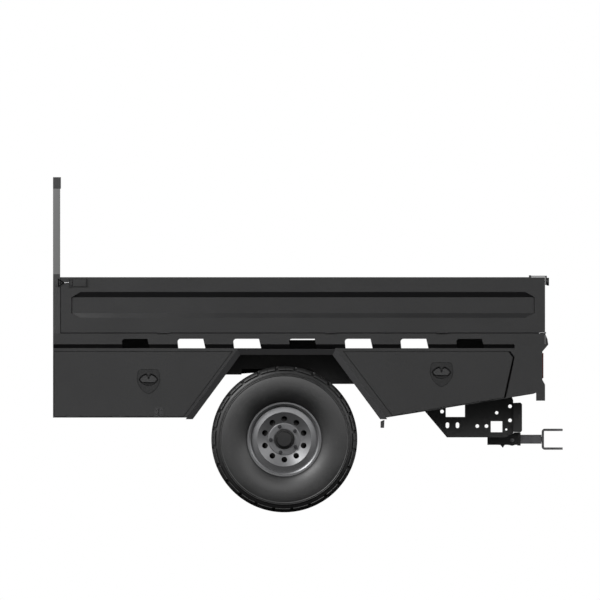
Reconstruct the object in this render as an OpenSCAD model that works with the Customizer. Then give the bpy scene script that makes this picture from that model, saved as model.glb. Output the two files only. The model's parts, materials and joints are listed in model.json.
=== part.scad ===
// Single-axle tow-behind flatbed cart: drop sides, headboard, four under-deck tool boxes,
// rubber torsion axle and a swivelling drawbar fork.
// +X points to the hitch, +Y to the cart's left, +Z up. The origin is on the ground, under the
// middle of the overall length. Each sided sub-part is drawn for the left and mirrored.

/* [Deck] */
// Length of the deck, from the headboard's back face to the hitch end
tray_l = 2736; // [2400:1:3300]
// Width over the side rails
tray_w = 1850; // [1600:1:2200]
// Height of the deck above the ground
deck_z = 995; // [960:1:1150]
// Depth of the folded side rail
rail_h = 82; // [75:1:100]
// Height, and inward set, of the rail's lower lip
lip = 22; // [16:1:24]
// Sheet thickness of the rails and skirts
sheet_t = 4; // [3:0.5:5]
// Number of tie-down slots in each rail
slot_n = 7; // [7:1:7]
// Length of a tie-down slot
slot_l = 154; // [120:1:180]
// Distance from one slot to the next
slot_pitch = 310; // [280:1:340]
// Width of a deck bearer
bearer_w = 168; // [150:1:185]
// Height of a deck plank
plank_t = 26; // [20:1:28]
// Number of deck planks
plank_n = 10; // [8:1:12]

/* [Headboard] */
// Height of the headboard above the deck
head_h = 869; // [700:1:1100]
// Depth of a headboard post, along the deck
post_d = 40; // [35:1:48]
// Width of a headboard post, across the deck
post_w = 45; // [40:1:60]
// Height of the crossbar
crossbar_h = 64; // [50:1:80]
// How far each post leans in, from the bend to the crossbar
head_lean = 95; // [40:1:160]
// Number of upright bars between the posts
bar_n = 7; // [5:1:9]

/* [Drop sides] */
// Height of a drop side
side_h = 308; // [250:1:380]
// Thickness of a drop side
side_t = 30; // [26:1:40]
// Depth of the pressed panel
press_d = 13; // [8:1:16]

/* [Wheels] */
// Diameter of the tyre
tyre_d = 813; // [680:1:830]
// Width of the tyre
tyre_w = 292; // [220:1:300]
// Diameter of the rim at the bead seats
rim_d = 381; // [356:1:406]
// Distance from the tyre to the cart's side
wheel_inset = 35; // [20:1:60]
// Distance from the deck's headboard end to the axle
axle_back = 1286; // [1200:1:1450]
// Diameter of the wheel stud circle
stud_pcd = 150; // [139:1:150]
// Radius of the wheel spindle at the outer bearing
spindle_r = 16; // [14:1:18]

/* [Tool boxes] */
// Height of a tool box
box_h = 386; // [300:1:420]
// Depth of a tool box, into the cart
box_depth = 405; // [300:1:410]
// How far the hitch-end box's floor rises along its length
box_rise = 132; // [60:1:160]
// Gap round a tool box door
door_gap = 2.5; // [2:0.5:4]
// Thickness of a door over its folded edge
door_t = 20; // [16:1:26]
// Slope of the wheel arch's sides
arch_angle = 53.5; // [48:0.5:60]
// Half the width of the wheel arch at its top
arch_half = 256; // [240:1:290]
// Width of the arch's bevelled lip
arch_lip = 32; // [24:1:38]

/* [Chassis] */
// Width over the two chassis rails
chassis_w = 990; // [900:1:1010]
// Width of a chassis rail's flanges
rail_flange = 75; // [60:1:90]
// Thickness of the chassis rails
rail_t = 6; // [5:0.5:8]
// Depth of a chassis rail at the hitch end
rail_deep = 199; // [172:1:220]

/* [Hitch] */
// Height of the drawbar above the ground
hitch_z = 407; // [380:1:450]
// How far the fork reaches past the deck
hitch_reach = 98; // [80:1:160]
// Side of the square drawbar
shank_w = 50; // [45:1:60]
// Height over the fork's two ears
fork_h = 117; // [105:1:140]
// Thickness of the fork
fork_t = 13; // [10:1:16]
// Radius of the tow pin hole in the fork
tow_r = 13; // [10:0.5:16]
// Thickness of the hitch side plates
plate_t = 10; // [8:1:12]

/* [Hidden] */
$fn = 48;
eps = 0.5; // how far a cutting tool runs past what it cuts
run_gap = 0.05; // radial clearance of a running fit
turn_gap = 1; // clearance round a hinge knuckle
ring_gap = 0.02; // clearance of a bearing ring in its seat

// ---- places along the cart ----
overall_l = tray_l + hitch_reach;
x0 = -overall_l / 2; // headboard end of the deck
x1 = x0 + tray_l; // hitch end of the deck
axle_x = x0 + axle_back;
axle_z = tyre_d / 2;
arch_x = axle_x + 12; // middle of the wheel arch
slot_x0 = x0 + (tray_l - (slot_n - 1) * slot_pitch - slot_l) / 2 + 22;
hw = tray_w / 2;

// ---- heights ----
rail_z = deck_z - rail_h; // lower edge of the side rail
frame_z = rail_z; // top of the chassis rails and the tool boxes, which carry the side rails
floor_up = 6; // how far the planks stand above the rails
floor_z = deck_z + floor_up;
plank_z = deck_z - plank_t; // underside of the planks
arch_top = frame_z - arch_lip - 5; // underside of the arch's top lip
box_z = frame_z - box_h; // floor of the tool boxes
hinge_z = deck_z + 3; // axis of the drop-side hinges
hinge_out = 1.5; // hinge axis outside the panel's face
knuckle_r = 4.5;
pin_r = 2.5;
knuckle_l = 40;
side_gap = 6; // gap under a drop side

// ---- places across the cart ----
rail_y = chassis_w / 2; // outer face of a chassis rail
tyre_y = hw - wheel_inset - tyre_w / 2; // middle of the tyre
box_y = hw - box_depth - sheet_t; // inner wall of a tool box
face_y = hw - 3; // outer face of a tool box's frame

// ---- helpers ----
module on_side(left) mirror([0, left ? 0 : 1, 0]) children();
// An outline drawn in X and Z, extruded along Y from ya to yb
module slab(ya, yb) translate([0, yb, 0]) rotate([90, 0, 0]) linear_extrude(yb - ya) children();
// An outline drawn in Y and Z, extruded along X from xa to xb
module beam(xa, xb) translate([xa, 0, 0]) rotate([90, 0, 90]) linear_extrude(xb - xa) children();
module block(a, b) translate(a) cube(b - a);
module rod_x(x, y, z, r, l) translate([x, y, z]) rotate([0, 90, 0]) cylinder(r = r, h = l);
module rod_y(x, y, z, r, l) translate([x, y, z]) rotate([-90, 0, 0]) cylinder(r = r, h = l);
// A shape turned about Y, from a profile in radius and Y, at a wheel's centre
module turned_y(x, z) translate([x, 0, z]) rotate([-90, 0, 0]) rotate_extrude($fn = 96) children();

function unit(v) = v / norm(v);
function turn_left(v) = [-v[1], v[0]];
// The corner at b, moved d inside a counter-clockwise outline
function inset_corner(a, b, c, d) =
    let (n = turn_left(unit(b - a)), m = turn_left(unit(c - b))) b + d * (n + m) / (1 + n * m);
function inset(p, d) =
    let (n = len(p)) [for (i = [0:n - 1]) inset_corner(p[(i + n - 1) % n], p[i], p[(i + 1) % n], d)];
// A rectangle as a counter-clockwise outline
function box_outline(a, b) = [a, [b[0], a[1]], b, [a[0], b[1]]];
function reversed(p) = [for (i = [len(p) - 1:-1:0]) p[i]];
function mirrored(p) = [for (q = p) [-q[0], q[1]]];

// ---- deck ----
rail_in = hw - 42; // inner edge of the rail's top flange

function rail_section() = [
    [hw - lip - sheet_t, rail_z], [hw - lip, rail_z], [hw, rail_z + lip], [hw, deck_z],
    [rail_in, deck_z], [rail_in, plank_z], [rail_in + sheet_t, plank_z],
    [rail_in + sheet_t, deck_z - sheet_t], [hw - sheet_t, deck_z - sheet_t],
    [hw - sheet_t, rail_z + lip]
];
slot_h = plank_z - rail_z - 4; // slot height above the rail's lower edge
function slot_x(i) = slot_x0 + i * slot_pitch;
module slot_outline() {
    round_r = 16;
    polygon([
        [4, -eps], [slot_l, -eps], [slot_l - 12, slot_h], [round_r, slot_h],
        for (t = [15:15:75]) [round_r - round_r * sin(t), slot_h - round_r + round_r * cos(t)],
        [0, slot_h - round_r]
    ]);
}
skirt_l = 172; // length of the corner skirt that meets the rail

// drop-side hinges, each half way between two slots
side_hinge_x = [for (i = [0, 3, 5]) slot_x(i) + (slot_l + slot_pitch) / 2];
lug_l = 12;

// Relief cut for turning knuckles, and the fixed lugs beside them, along X
module knuckle_relief(x, l)
    rod_x(x - l / 2 - 1, hw + hinge_out, hinge_z, knuckle_r + turn_gap, l + 2);
function lug_start(side) = side * (knuckle_l + lug_l + 4) / 2 - lug_l / 2;
module hinge_lug(x)
    for (side = [-1, 1])
        difference() {
            a = x + lug_start(side);
            union() {
                rod_x(a, hw + hinge_out, hinge_z, knuckle_r, lug_l);
                block([a, hw - sheet_t - 1, hinge_z - 2 * knuckle_r - 2],
                    [a + lug_l, hw + hinge_out, hinge_z - 2]);
            }
            rod_x(x - knuckle_l, hw + hinge_out, hinge_z, pin_r, 2 * knuckle_l);
        }

module side_rail() {
    color([0.05, 0.05, 0.055])
    difference() {
        union() {
            difference() {
                beam(x0, x1) polygon(rail_section());
                // the corner skirt takes the place of the lower face at the hitch end
                block([door_end_x + door_gap, hw - lip - sheet_t - eps, rail_z - eps],
                    [x1 + eps, hw + eps, rail_z + lip]);
                // the end rail's skin laps the rail's end
                block([x1 - sheet_t - 0.5, rail_in - 1, rail_z - eps],
                    [x1 + eps, hw - sheet_t, deck_z + eps]);
                for (i = [0:slot_n - 1])
                    slab(hw - lip - sheet_t - 1, hw + 1) translate([slot_x(i), rail_z]) slot_outline();
                for (x = side_hinge_x)
                    block([x - knuckle_l / 2 - lug_l - 3, hw - sheet_t - eps, hinge_z - 2 * knuckle_r],
                        [x + knuckle_l / 2 + lug_l + 3, hw + eps, deck_z + eps]);
            }
            for (x = side_hinge_x) {
                hinge_lug(x);
                block([x - knuckle_l / 2 - lug_l - 3, hw - 2 * sheet_t - 8, hinge_z - 2 * knuckle_r - 4],
                    [x + knuckle_l / 2 + lug_l + 3, hw - sheet_t - 6, deck_z - sheet_t]);
                block([x - knuckle_l / 2 - lug_l - 3, hw - sheet_t - 6, hinge_z - 2 * knuckle_r - 4],
                    [x + knuckle_l / 2 + lug_l + 3, hw - sheet_t, hinge_z - 2 * knuckle_r]);
            }
        }
        for (x = side_hinge_x) knuckle_relief(x, knuckle_l);
    }
}

plank_pitch = 2 * rail_in / plank_n;
module deck_planks() {
    color([0.13, 0.13, 0.135])
    for (i = [0:plank_n - 1]) {
        ya = -rail_in + i * plank_pitch + 1;
        yb = ya + plank_pitch - 2;
        beam(x0 + post_d + 1, x1 - side_t - 2)
            polygon(box_outline([ya, deck_z], [yb, floor_z]));
        // two legs, between the end rails
        for (y = [ya, yb - 3])
            beam(x0 + end_w + 1, x1 - end_w - 1)
                polygon(box_outline([y, plank_z], [y + 3, floor_z - 1]));
    }
}

end_w = 50; // width of the end rails on the deck
recess_in = 15; // how far the lamp panel is set back from the deck's end
bulge = 18; // how far the hitch-end rail stands out past the deck
skirt_foot = 50; // length of the skirt's foot
skirt_z = box_z + 94; // lower edge of the skirt's foot
lamp_top = frame_z - 19;
lamp_low = lamp_top - 156;

// The hitch-end panel's outer line, from the deck down
function end_line() = [
    [x1, deck_z], [x1 + 13, deck_z - 30], [x1 + bulge, rail_z + lip - 2], [x1 - recess_in, lamp_top],
    [x1 - recess_in, lamp_low], [x1, lamp_low - 28], [x1, skirt_z + 46]
];
tail_hinge_y = [-0.62 * hw, 0, 0.62 * hw];
module at_tailgate(y) translate([x1 - hw, y, 0]) rotate([0, 0, -90]) children();

module end_rails() {
    skin = end_line();
    color([0.05, 0.05, 0.055]) {
        // hitch end: the deck's end flange, the bulged rail and the lamp panel, as one folded sheet
        difference() {
            union() {
                slab(-hw + sheet_t, hw - sheet_t)
                    polygon(concat(skin, [for (p = reversed(skin)) [p[0] - sheet_t, p[1]]]));
                block([x1 - end_w, -rail_in + 1, deck_z - sheet_t], [x1 - 1, rail_in - 1, deck_z]);
                for (y = tail_hinge_y) at_tailgate(y) tail_lug();
                // a rest at each end of the flange, just under the tailgate's lower edge
                for (left = [true, false]) on_side(left)
                    block([x1 - side_t, rail_in - 14, deck_z - 1], [x1, rail_in - 1, deck_z + side_gap - 2]);
            }
            for (y = tail_hinge_y)
                at_tailgate(y) knuckle_relief(0, knuckle_l);
        }
        // headboard end: a channel under the deck's edge
        difference() {
            block([x0, -rail_in, rail_z], [x0 + end_w, rail_in, deck_z]);
            block([x0 + sheet_t, -rail_in - 1, rail_z - 1], [x0 + end_w + 1, rail_in + 1, deck_z - sheet_t]);
        }
    }
}
// Two lugs for a tailgate pin, on a short web that stands on the end flange
module tail_lug()
    for (side = [-1, 1])
        difference() {
            x = lug_start(side);
            union() {
                rod_x(x, hw + hinge_out, hinge_z, knuckle_r, lug_l);
                block([x, hw - 8, deck_z - sheet_t], [x + lug_l, hw + hinge_out, hinge_z - 1]);
            }
            rod_x(x - 1, hw + hinge_out, hinge_z, pin_r, lug_l + 2);
        }

module cross_bearers() {
    wall = 4;
    pad_h = 10; // the middle bearer is shallower than the others
    color([0.03, 0.03, 0.03])
    for (i = [0, 3, 6]) {
        mid = slot_x(i) + slot_l / 2;
        top = i == 3 ? plank_z - pad_h : plank_z;
        slab(lip + sheet_t - hw, hw - lip - sheet_t)
            polygon([
                [mid - bearer_w / 2, frame_z], [mid - bearer_w / 2 + wall, frame_z],
                [mid - bearer_w / 2 + wall, top - wall], [mid + bearer_w / 2 - wall, top - wall],
                [mid + bearer_w / 2 - wall, frame_z], [mid + bearer_w / 2, frame_z],
                [mid + bearer_w / 2, top], [mid - bearer_w / 2, top]
            ]);
        // a plate closes the bearer over each chassis rail
        for (left = [true, false]) on_side(left)
            slab(rail_y - wall, rail_y)
                polygon(box_outline([mid - bearer_w / 2 + 1, frame_z], [mid + bearer_w / 2 - 1, top - 1]));
    }
}

// ---- headboard ----
bend_z = deck_z + side_h + 22; // where the posts start to lean
head_top = deck_z + head_h;
function head_outer(d) = [
    [hw - d, rail_z], [hw - d, bend_z], [hw - head_lean - d, head_top - crossbar_h],
    [hw - head_lean - d, head_top - d]
];
function head_inner(d) = [
    [hw - post_w + d, rail_z], [hw - post_w + d, bend_z],
    [hw - head_lean - post_w + d, head_top - crossbar_h + d]
];
module head_ring(d) polygon(concat(
    head_outer(d), mirrored(reversed(head_outer(d))),
    mirrored(head_inner(d)), reversed(head_inner(d))
));
post_wall = 3;
module headboard_frame() {
    color([0.09, 0.09, 0.095])
    difference() {
        union() {
            beam(x0, x0 + post_d) head_ring(0);
            // the crossbar is a little deeper than the posts
            beam(x0, x0 + post_d + 4)
                polygon(box_outline([head_lean - hw, head_top - crossbar_h], [hw - head_lean, head_top]));
            // a strip on each post, behind the drop side's end
            for (left = [true, false]) on_side(left)
                block([x0 + post_d - 1, rail_in, deck_z], [x0 + post_d + 8, rail_in + 3, gate_top]);
            // middle rail between the posts, level with the bend
            beam(x0, x0 + post_d)
                polygon(box_outline([-hw + post_w - 1, bend_z - post_w], [hw - post_w + 1, bend_z]));
        }
        // the tube's bore, open at the posts' feet
        beam(x0 + post_wall, x0 + post_d - post_wall)
            difference() {
                head_ring(post_wall);
                translate([-hw, rail_z - 1]) square([tray_w, 0.5]);
            }
        // the side rail and the end rail fit round the post's foot
        for (left = [true, false]) on_side(left)
            block([x0 - eps, hw - post_w - 1, rail_z - eps], [x0 + post_d + eps, hw + eps, deck_z]);
    }
    // catches for the drop-side hooks
    color([0.03, 0.03, 0.03])
    for (left = [true, false]) on_side(left) latch_catch();
}
latch_z = deck_z + side_h - 26; // centre line of the drop-side latches
module latch_catch() {
    block([x0 + 6, hw, latch_z - 20], [x0 + post_d - 1, hw + 3, latch_z + 20]);
    block([x0 + 34, hw, latch_z - 4], [x0 + 37, hw + 10, latch_z + 4]);
}

module headboard_panel() {
    color([0.05, 0.05, 0.055])
    block([x0 + post_d / 2 - 1.5, -hw + post_w, deck_z],
        [x0 + post_d / 2 + 1.5, hw - post_w, bend_z - post_w]);
}
module headboard_bars() {
    bar_w = 25;
    top_in = hw - head_lean - post_w - 20;
    color([0.05, 0.05, 0.055])
    for (i = [1:bar_n]) {
        y = -top_in + 2 * top_in * i / (bar_n + 1);
        block([x0 + (post_d - bar_w) / 2, y - bar_w / 2, bend_z],
            [x0 + (post_d + bar_w) / 2, y + bar_w / 2, head_top - crossbar_h]);
    }
}

// ---- wheel arch, tool boxes and skirts, as outlines in X and Z ----
arch_run = 1 / tan(arch_angle);
// The arch's line on the wheel side, d outside the wheel-side edge, from the rear foot to the front foot
arch_foot = box_z - 9;
function arch_half_at(z, d) = arch_half + d / sin(arch_angle) + (arch_top - z) * arch_run;
function arch_line(d) = [
    [arch_x - arch_half_at(arch_foot, d), arch_foot], [arch_x - arch_half_at(arch_top + d, d), arch_top + d],
    [arch_x + arch_half_at(arch_top + d, d), arch_top + d], [arch_x + arch_half_at(arch_foot, d), arch_foot]
];
box_clear = arch_lip; // a box meets the arch's lip
floor_front_x = x1 - 65; // hitch-end wall of the front box
function rear_box() = [
    [x0, box_z], [arch_x - arch_half_at(box_z, box_clear), box_z],
    [arch_x - arch_half_at(frame_z, box_clear), frame_z], [x0, frame_z]
];
function front_box() = [
    [arch_x + arch_half_at(box_z, box_clear), box_z], [floor_front_x, box_z + box_rise],
    [floor_front_x, frame_z], [arch_x + arch_half_at(frame_z, box_clear), frame_z]
];
top_band = 17; // frame left above a door
sill = 4; // frame left below a door
// Each door's opening
function rear_opening() = [
    [x0 + wall_t + 1, box_z + sill], [rear_box()[1][0] - 18, box_z + sill],
    [rear_box()[2][0] - 18 - top_band * arch_run, frame_z - top_band],
    [x0 + wall_t + 1, frame_z - top_band]
];
door_end_x = x1 - skirt_l;
front_slope = box_rise / (floor_front_x - front_box()[0][0]);
function floor_at(x) = box_z + (x - front_box()[0][0]) * front_slope;
function front_opening() = [
    [front_box()[0][0] + 34, floor_at(front_box()[0][0] + 34) + sill],
    [door_end_x - 46, floor_at(door_end_x - 46) + sill],
    [door_end_x + 4, frame_z - top_band - 34], [door_end_x - 22, frame_z - top_band],
    [front_box()[3][0] + 34 + top_band * arch_run, frame_z - top_band]
];
// The front door stops short of the skirt by a groove
groove = 9;
function front_panel() = let (p = front_opening()) [
    p[0], [p[1][0] - groove, p[1][1] - groove * front_slope], [p[2][0] - groove, p[2][1]],
    [p[3][0] - groove, p[3][1]], p[4]
];

wall_t = 3;
// A sheet box, open on the outside through the door's opening
module tool_box(shell, opening) {
    color([0.05, 0.05, 0.055])
    difference() {
        slab(box_y, face_y) polygon(shell);
        slab(box_y + wall_t, face_y - wall_t) polygon(inset(shell, wall_t));
        slab(face_y - wall_t - eps, face_y + eps) polygon(opening);
        children();
    }
}
door_knuckle_r = 4;
door_pin_r = 2;
door_knuckle_l = 44;
// Frame of a door's hinge: origin on the hinge line's start, X along it
module at_hinge(opening) {
    a = opening[0];
    b = opening[1];
    translate([a[0], hw, a[1] + door_gap]) rotate([0, -atan2(b[1] - a[1], b[0] - a[0]), 0]) children();
}
function hinge_length(opening) = norm(opening[1] - opening[0]);
function knuckle_places(opening) = [for (f = [0.15, 0.5, 0.82]) f * hinge_length(opening)];
module door_pins(opening)
    at_hinge(opening)
        for (x = knuckle_places(opening))
            rod_x(x - door_knuckle_l / 2 - 14, 0, 0, door_pin_r, door_knuckle_l + 28);
module door_lugs(opening)
    at_hinge(opening)
        for (x = knuckle_places(opening), side = [-1, 1])
            difference() {
                union() {
                    rod_x(x + side * (door_knuckle_l / 2 + 7) - 5, 0, 0, door_knuckle_r, 10);
                    block([x + side * (door_knuckle_l / 2 + 7) - 5, -wall_t - 3, 1 - door_gap - sill],
                        [x + side * (door_knuckle_l / 2 + 7) + 5, 0, -1]);
                }
                rod_x(x - door_knuckle_l, 0, 0, door_pin_r, 2 * door_knuckle_l);
            }
module knuckle_cut(opening, at, l)
    at_hinge(opening)
        for (x = knuckle_places(opening))
            rod_x(x + at - l / 2, 0, 0, door_knuckle_r + turn_gap, l);

module tool_box_with_lugs(shell, opening) {
    tool_box(shell, opening) knuckle_cut(opening, 0, door_knuckle_l + 2);
    color([0.05, 0.05, 0.055]) intersection() {
        door_lugs(opening);
        // the lugs stand on the box's face
        block([x0 - 10, face_y, box_z - 20], [x1 + 20, hw + 20, frame_z]);
    }
}
module rear_tool_box() tool_box_with_lugs(rear_box(), rear_opening());
module front_tool_box() tool_box_with_lugs(front_box(), front_opening());

dish_w = 129;
dish_h = 138;
dish_top = 57; // top of the dish above its centre
// Where each lock's centre is: across from the door's middle, below the frame's top
rear_lock = [x0 + 531, frame_z - 174];
front_lock = [x0 + 2160, frame_z - 135];
bowl_w = 107;
bowl_h = 66;

// A folded-edge door that fills its opening, less the gap
module door(opening, panel, lock) {
    outline = inset(panel, door_gap);
    color([0.05, 0.05, 0.055])
    difference() {
        union() {
            difference() {
                slab(hw - door_t, hw) polygon(outline);
                slab(hw - door_t - eps, hw - wall_t) polygon(inset(outline, wall_t));
            }
            at_hinge(opening)
                for (x = knuckle_places(opening))
                    rod_x(x - door_knuckle_l / 2, 0, 0, door_knuckle_r, door_knuckle_l);
        }
        knuckle_cut(opening, door_knuckle_l / 2 + 7, 13);
        knuckle_cut(opening, -door_knuckle_l / 2 - 7, 13);
        at_hinge(opening)
            for (x = knuckle_places(opening))
                rod_x(x - door_knuckle_l, 0, 0, door_pin_r + run_gap, 2 * door_knuckle_l);
        slab(hw - door_t, hw + eps) translate(lock) bowl_outline(3);
    }
}

module rear_door() door(rear_opening(), rear_opening(), rear_lock);
module front_door() door(front_opening(), front_panel(), front_lock);

// ---- locks ----
bowl_r = (bowl_w * bowl_w + bowl_h * bowl_h) / (4 * bowl_h);
// The bowl is where two circles cross; d is how far outside it
module bowl_outline(d) {
    intersection() {
        translate([0, bowl_r - bowl_h / 2]) circle(r = bowl_r + d, $fn = 96);
        translate([0, bowl_h / 2 - bowl_r]) circle(r = bowl_r + d, $fn = 96);
    }
}
// Right half of a shield: a flat top with a round shoulder, and a side that swings in to a low point
function shield_half() =
    let (w = dish_w / 2, r = 20, wide_z = dish_top - 48, drop = dish_h - 51, in = w - 8,
         r_side = (drop * drop + in * in) / (2 * in), turn = asin(drop / r_side))
    concat(
        [for (t = [90:-20:10]) [w - 24 + r * cos(t), dish_top - r + r * sin(t)]],
        [for (i = [0:11]) [w - r_side + r_side * cos(turn * i / 11), wide_z - r_side * sin(turn * i / 11)]],
        [[4, dish_top - dish_h + 0.8]]
    );
module shield_outline() polygon(concat(shield_half(), mirrored(reversed(shield_half()))));
dish_deep = 24;
nose_w = 13; // half the nose's width at the bowl's edge
nose_z = 9; // height of the nose's tip above the lock's centre
module lock_dish(lock) {
    color([0.02, 0.02, 0.02])
    difference() {
        union() {
            slab(hw, hw + 3) translate(lock) shield_outline();
            slab(hw - dish_deep, hw) translate(lock) bowl_outline(2.5);
        }
        slab(hw - dish_deep + 2.5, hw + 3 + eps) translate(lock) bowl_outline(0);
    }
    // a pointed nose hangs over the bowl's top edge
    color([0.02, 0.02, 0.02])
    slab(hw - 2, hw + 3) translate(lock)
        polygon([[0, nose_z], [nose_w, bowl_h / 2 + 2], [-nose_w, bowl_h / 2 + 2]]);
    // ears that carry the handle's pin
    color([0.02, 0.02, 0.02])
    for (side = [-1, 1])
        difference() {
            translate([lock[0] + side * 20 - 3, hw - dish_deep + 2, lock[1] + 9.5]) cube([6, 13, 11]);
            rod_x(lock[0] - 30, hw - 14, lock[1] + 15, 2.5 + run_gap, 60);
        }
}
module lock_handle(lock) {
    color([0.06, 0.06, 0.06]) {
        // the paddle lies across the bowl, and its pivot barrel is behind its top edge
        slab(hw - 6, hw - 1) translate(lock)
            difference() {
                intersection() {
                    bowl_outline(-7);
                    translate([-bowl_w, -14]) square([2 * bowl_w, bowl_h]);
                }
                // the notch clears the nose as the paddle swings
                polygon([[0, nose_z - 12], [nose_w + 5, bowl_h / 2], [-nose_w - 5, bowl_h / 2]]);
            }
        translate([lock[0] - 16, hw - 17, lock[1] + 11]) cube([32, 11.5, 7.5]);
    }
    color([0.3, 0.3, 0.3]) rod_x(lock[0] - 23, hw - 14, lock[1] + 15, 2.5, 46);
}

// ---- arches, flaps and skirts ----
// A bevelled lip from the arch's outer line at the cart's side to its wheel-side line
module arch_lip_band() {
    a = arch_line(arch_lip);
    b = arch_line(0);
    set_in = arch_lip * 0.8;
    t = 3;
    ring = [for (i = [0:3]) each [
        [a[i][0], face_y, a[i][1]], [b[i][0], face_y - set_in, b[i][1]],
        [b[i][0], face_y - set_in - t, b[i][1]], [a[i][0], face_y - t, a[i][1]]
    ]];
    polyhedron(ring, concat(
        [[3, 2, 1, 0], [12, 13, 14, 15]],
        [for (i = [0:2], j = [0:3]) [4 * i + (j + 1) % 4, 4 * i + 4 + (j + 1) % 4, 4 * i + 4 + j, 4 * i + j]]
    ));
}
module wheel_arches() {
    deep_y = rail_y + 25;
    color([0.03, 0.03, 0.03])
    for (left = [true, false]) on_side(left) {
        arch_lip_band();
        slab(deep_y, face_y - arch_lip * 0.8 - 3)
            polygon(concat(arch_line(0), reversed(arch_line(3))));
    }
}
module mud_flaps() {
    a = arch_line(0)[3];
    color([0.02, 0.02, 0.02])
    for (left = [true, false]) on_side(left)
        slab(tyre_y - tyre_w / 2 + 10, face_y - arch_lip)
            polygon([
                [a[0] + 2, a[1] - 48], [a[0] + 22, a[1] - 48], [a[0] + 24, a[1] - 3], [a[0] + 2, a[1] - 12]
            ]);
}
function skirt() = [
    [door_end_x + door_gap, rail_z + lip], [door_end_x + door_gap, frame_z - top_band - 32],
    [door_end_x - 42, floor_at(door_end_x - 42) + sill], [door_end_x - 42, floor_at(door_end_x - 42)],
    [floor_front_x, floor_at(floor_front_x)], [x1 - skirt_foot, floor_at(floor_front_x) + 6],
    [x1 - skirt_foot, skirt_z], [x1, skirt_z], [x1, lamp_low - 28], [x1 - recess_in, lamp_low],
    [x1 - recess_in, lamp_top], [x1 + bulge, rail_z + lip - 2], [x1 + bulge, rail_z + lip]
];
module corner_skirts() {
    color([0.05, 0.05, 0.055])
    for (left = [true, false]) on_side(left) {
        slab(face_y, hw) polygon(skirt());
        // the rail's bulged end is closed in line with the skirt
        slab(hw - sheet_t, hw)
            polygon([
                [x1 + 0.5, rail_z + lip], [x1 + bulge, rail_z + lip],
                [x1 + 13, deck_z - 30], [x1 + 0.5, deck_z - 1]
            ]);
    }
}
module tail_lamps() {
    lamp_w = 330;
    color([0.12, 0.01, 0.01])
    for (left = [true, false]) on_side(left)
        beam(x1 - recess_in, x1 - recess_in + 6)
            polygon(inset(box_outline([hw - 45 - lamp_w, lamp_low + 6], [hw - 45, lamp_top - 6]), 2));
}

// ---- chassis ----
over_axle = 116; // rail depth over the axle
rear_deep = 147; // rail depth at the headboard end
kick_rear = arch_x - arch_half + 6;
kick_front = axle_x + 150;
rail_end = x1 - 190;
// The rail's side view, d inside its top and bottom
function rail_side(d) = [
    [x0 + 60, frame_z - rear_deep + d], [kick_rear, frame_z - rear_deep + d],
    [kick_rear + 2, frame_z - over_axle + d], [kick_front, frame_z - over_axle + d],
    [kick_front + 60, frame_z - rail_deep + d], [rail_end, frame_z - rail_deep + d],
    [rail_end, frame_z - d], [x0 + 60, frame_z - d]
];
module chassis_rail() {
    color([0.02, 0.02, 0.02])
    difference() {
        slab(rail_y - rail_flange, rail_y) polygon(rail_side(0));
        slab(rail_y - rail_flange - 1, rail_y - rail_t)
            difference() {
                polygon(rail_side(rail_t));
                translate([x0, frame_z - rail_deep]) square([60 - eps, rail_deep]);
            }
        // both ends of the channel are open
        block([x0 + 59, rail_y - rail_flange - 1, frame_z - rear_deep + rail_t],
            [x0 + 66, rail_y - rail_t, frame_z - rail_t]);
        block([rail_end - 1, rail_y - rail_flange - 1, frame_z - rail_deep + rail_t],
            [rail_end + 1, rail_y - rail_t, frame_z - rail_t]);
    }
}
module frame_cross_tubes() {
    tube_w = 60;
    tube_h = 90;
    wall = 4;
    mid_z = frame_z - over_axle / 2;
    color([0.02, 0.02, 0.02])
    for (x = [x0 + 300, axle_x - 330, axle_x + 330, x1 - 330])
        slab(-rail_y + rail_t, rail_y - rail_t)
            difference() {
                translate([x - tube_w / 2, mid_z - tube_h / 2]) square([tube_w, tube_h]);
                translate([x - tube_w / 2 + wall, mid_z - tube_h / 2 + wall])
                    square([tube_w - 2 * wall, tube_h - 2 * wall]);
            }
}

// ---- hitch ----
plate_y = rail_y + plate_t; // outer face of a hitch side plate
plate_low = hitch_z + 10;
plate_end = x1 - 177; // hitch-end edge of the side plates
beam_d = 49;
beam_low = plate_low + 28;
beam_h = 166;
beam_over = 60; // how far the cross-beam runs past each plate
module hole(x, z, r) translate([plate_end + x, plate_low + z]) circle(r = r);
module hitch_plates() {
    top_z = frame_z - rail_deep + 70;
    slope = 0.845; // run of the plates' sloping edge for each unit of height
    foot_x = plate_end - 369;
    color([0.03, 0.03, 0.03])
    for (left = [true, false]) on_side(left)
        slab(rail_y, plate_y)
            difference() {
                polygon([
                    [foot_x, plate_low], [plate_end - 42, plate_low], [plate_end, plate_low + 22],
                    [plate_end, beam_low + beam_h + 12], [plate_end - 60, top_z],
                    [foot_x - slope * (top_z - plate_low), top_z]
                ]);
                hole(-396, 144, 10); // beside the window
                hole(-18, 173, 10);
                hole(-18, 95, 10);
                hole(-92, 137, 9);
                hole(-200, 63, 10);
                hole(-149, 63, 10);
                hole(-39, 44, 6);
                // two upright slots
                for (x = [-366, -310]) hull() {
                    hole(x, 61, 9.5);
                    hole(x, 74, 9.5);
                }
                translate([plate_end - 375, plate_low + 114]) square([106, 72]);
                translate([plate_end - 125, plate_low + 29]) square([64, 61]);
            }
}
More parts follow.
